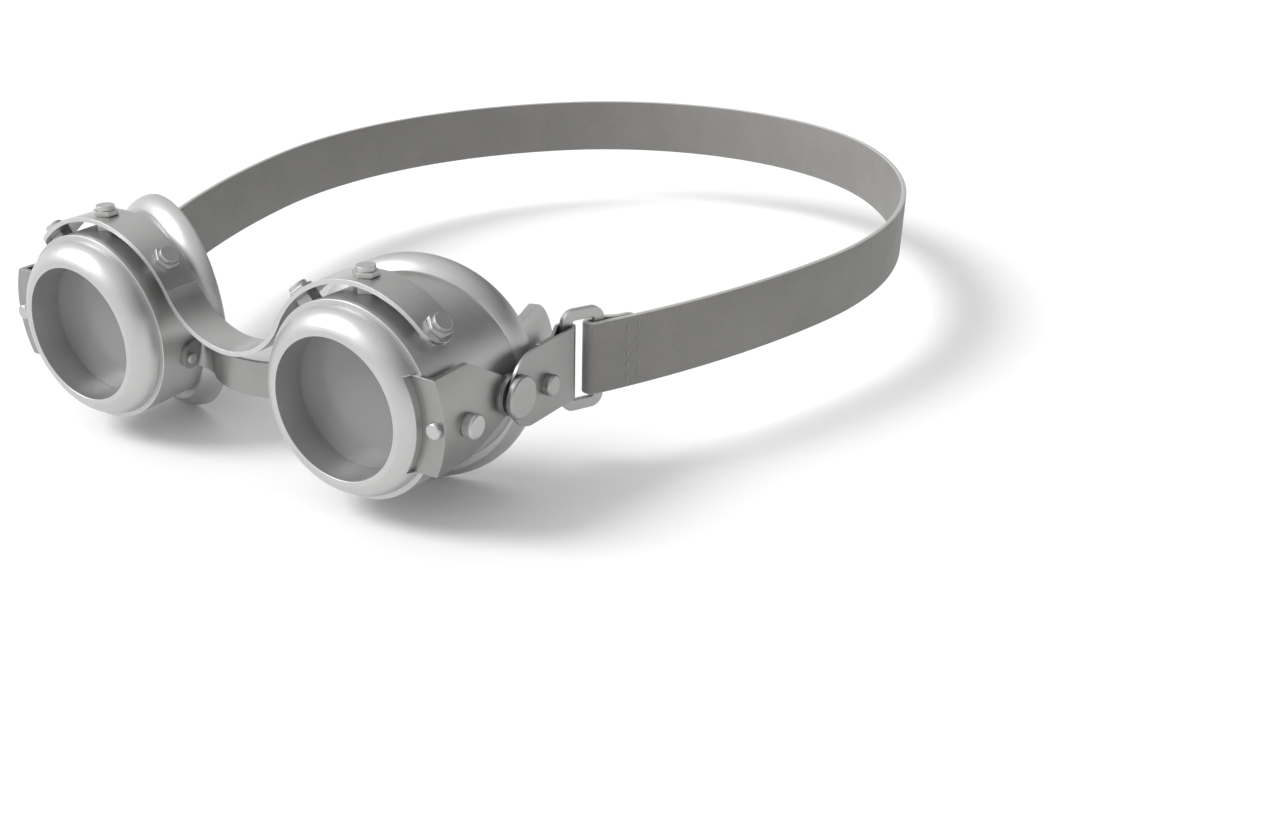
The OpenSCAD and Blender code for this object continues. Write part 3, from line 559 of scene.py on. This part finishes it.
# two rows of hand stitching hold each flap; each stitch is a short bow of thread; mm
stitchLook = {"length": 1.9, "thread": 0.46, "pitch": 2.6, "perRow": 5,
              "rows": (5.9, 8.5),          # behind the ring's bar
              "dip": 0.2, "dipFrom": 0.36,           # the ends beyond this share of the length dip
              "segments": 10, "rings": 8}


def makeStitch():
    look = stitchLook
    nothingSelected()
    bpy.ops.mesh.primitive_uv_sphere_add(segments=look["segments"], ring_count=look["rings"], radius=0.5)
    stitch = bpy.context.object
    stitch.name = "stitch"
    stitch.scale = (look["thread"] * mm, look["thread"] * mm, look["length"] * mm)
    bpy.ops.object.transform_apply(location=False, rotation=False, scale=True)
    bpy.ops.object.mode_set(mode="EDIT")
    bpy.ops.mesh.select_all(action="DESELECT")
    bpy.ops.object.mode_set(mode="OBJECT")
    for vertex in stitch.data.vertices:        # the ends go down into their holes
        vertex.select = abs(vertex.co.z) > look["dipFrom"] * look["length"] * mm
    bpy.ops.object.mode_set(mode="EDIT")
    bpy.ops.transform.translate(value=(-look["dip"] * mm, 0, 0))
    bpy.ops.object.mode_set(mode="OBJECT")
    return stitch


def makeStitches():
    look, route = stitchLook, strapPath
    model = makeStitch()
    low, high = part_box("strap")
    middle = (low.z + high.z) / 2
    skin = strapLook["thickness"] / 2 * mm
    copies = []
    for mirrored in (1, -1):
        for ahead in look["rows"]:
            ahead = ahead * mm
            bend = ahead ** 2 / (2 * strapLook["templeRadius"] * mm)
            for outward, turn in ((route["layer"] + skin - bend, 0), (-route["flapIn"] - skin, math.pi)):
                for i in range(look["perRow"]):
                    up = middle + (i - (look["perRow"] - 1) / 2) * look["pitch"] * mm
                    place = route["bar"] + ahead * route["along"] + outward * route["out"]
                    copy = model.copy()
                    copy.data = model.data.copy()
                    spin = Matrix.Rotation(-math.radians(strapLook["ringAngle"]) + turn, 4, "Z")
                    copy.data.transform(Matrix.Translation((place.x, place.y, up)) @ spin)
                    if mirrored < 0:
                        copy.data.transform(Matrix.Scale(-1, 4, (1, 0, 0)))
                        copy.data.flip_normals()
                    bpy.context.scene.collection.objects.link(copy)
                    copies.append(copy)
    nothingSelected()
    for copy in copies:
        copy.select_set(True)
    bpy.context.view_layer.objects.active = copies[0]
    bpy.ops.object.join()
    stitches = bpy.context.object
    stitches.name = "strap_stitches"
    bpy.ops.object.shade_smooth()
    bpy.data.objects.remove(model)
    stitches.data.materials.append(thread)
    return stitches


stitches = makeStitches()
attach(stitches, "strap_harness")
print("stitches:", len(stitches.data.polygons), "faces")

# the stage: pale floor and a soft studio; size and floorGap are metres, and the rest of the world
# goes by directions, whose third number is their height
stageLook = {
    "floor": "#fafafa", "floorShade": "#f7f7f7", "fibresPerMetre": 60.0, "roughness": 0.9,
    "size": 60.0, "floorGap": 0.0002,
    "bright": "#ffffff", "dark": "#404040", "strength": 1.0,
    "brightSide": (-0.5, -0.42, 0.76), "darkAt": -0.2, "brightAt": 0.85,
    "wallTop": 0.22, "wallFade": 0.14,
}


def makeFloor():
    look = stageLook
    nothingSelected()
    bpy.ops.mesh.primitive_plane_add(size=look["size"], location=(0, 0, -look["floorGap"]))
    floor = bpy.context.object
    floor.name = "studio_floor"
    material, tree, shader, place = newMaterial("pale paper floor")
    fibre = addNode(tree, "ShaderNodeTexNoise", {"Scale": look["fibresPerMetre"], "Detail": 3.0},
                    {"Vector": place})
    tone = addNode(tree, "ShaderNodeMix", {"data_type": "RGBA", 6: toLinear(look["floorShade"]),
                   7: toLinear(look["floor"])}, {0: fibre.outputs["Fac"]})
    tree.links.new(tone.outputs[2], shader.inputs["Base Color"])
    shader.inputs["Roughness"].default_value = look["roughness"]
    floor.data.materials.append(material)


# half of the studio's ceiling is dark, so that round metal shows its form; its walls are white
def makeWorld():
    look = stageLook
    world = bpy.data.worlds.new("studio")
    world.use_nodes = True
    sky = world.node_tree
    direction = addNode(sky, "ShaderNodeTexCoord").outputs["Generated"]
    towards = addNode(sky, "ShaderNodeVectorMath", {"operation": "DOT_PRODUCT", 1: look["brightSide"]},
                      {0: direction})
    share = addNode(sky, "ShaderNodeMapRange", {"interpolation_type": "SMOOTHSTEP",
                    "From Min": look["darkAt"], "From Max": look["brightAt"]},
                    {"Value": towards.outputs["Value"]})
    height = addNode(sky, "ShaderNodeSeparateXYZ", links={"Vector": direction}).outputs["Z"]
    wall = addNode(sky, "ShaderNodeMapRange", {"interpolation_type": "SMOOTHSTEP",
                   "From Min": look["wallTop"] + look["wallFade"], "From Max": look["wallTop"]},
                   {"Value": height})
    lit = addNode(sky, "ShaderNodeMath", {"operation": "MAXIMUM"},
                  {0: share.outputs["Result"], 1: wall.outputs["Result"]})
    tone = addNode(sky, "ShaderNodeMix", {"data_type": "RGBA", 6: toLinear(look["dark"]),
                   7: toLinear(look["bright"])}, {0: lit.outputs["Value"]})
    sky.links.new(tone.outputs[2], sky.nodes["Background"].inputs["Color"])
    sky.nodes["Background"].inputs["Strength"].default_value = look["strength"]
    bpy.context.scene.world = world
    bpy.context.scene.view_settings.view_transform = "Standard"


# one large soft source up on the camera's left, so that the side away from it goes dark; "softness"
# is its width in degrees
keyLook = {"from": (-0.5, -0.42, 0.62), "softness": 26.0, "strength": 2.0}


def makeKey():
    nothingSelected()
    bpy.ops.object.light_add(type="SUN", location=keyLook["from"])
    lamp = bpy.context.object
    lamp.name = "key softbox"
    lamp.data.angle = math.radians(keyLook["softness"])
    lamp.data.energy = keyLook["strength"]
    lamp.rotation_euler = (-Vector(keyLook["from"])).to_track_quat("-Z", "Y").to_euler()


makeFloor()
makeWorld()
makeKey()

# the photograph's camera, fitted to both eyepieces and the strap: mm from the point midway between
# the lens axes, in the plane of the bezels' lips, and degrees
cameraLook = {"place": (197.38, -177.43, 105.96), "tilt": 61.83, "roll": -0.1, "turn": 33.47,
              "lens": 40.9, "sensor": 36, "shift": (0.07015, 0.08016), "clipFrom": 5.0}


def makeCamera():
    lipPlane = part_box("bezel_right")[0].y
    axisHeight = lensCentre["right"].z
    x, y, z = (value * mm for value in cameraLook["place"])
    bpy.ops.object.camera_add(location=(x, lipPlane + y, axisHeight + z))
    camera = bpy.context.object
    camera.rotation_euler = [math.radians(cameraLook[key]) for key in ("tilt", "roll", "turn")]
    camera.data.lens, camera.data.sensor_width = cameraLook["lens"], cameraLook["sensor"]
    camera.data.shift_x, camera.data.shift_y = cameraLook["shift"]
    camera.data.clip_start = cameraLook["clipFrom"] * mm
    bpy.context.scene.camera = camera


makeCamera()
print("stage, light and camera set")
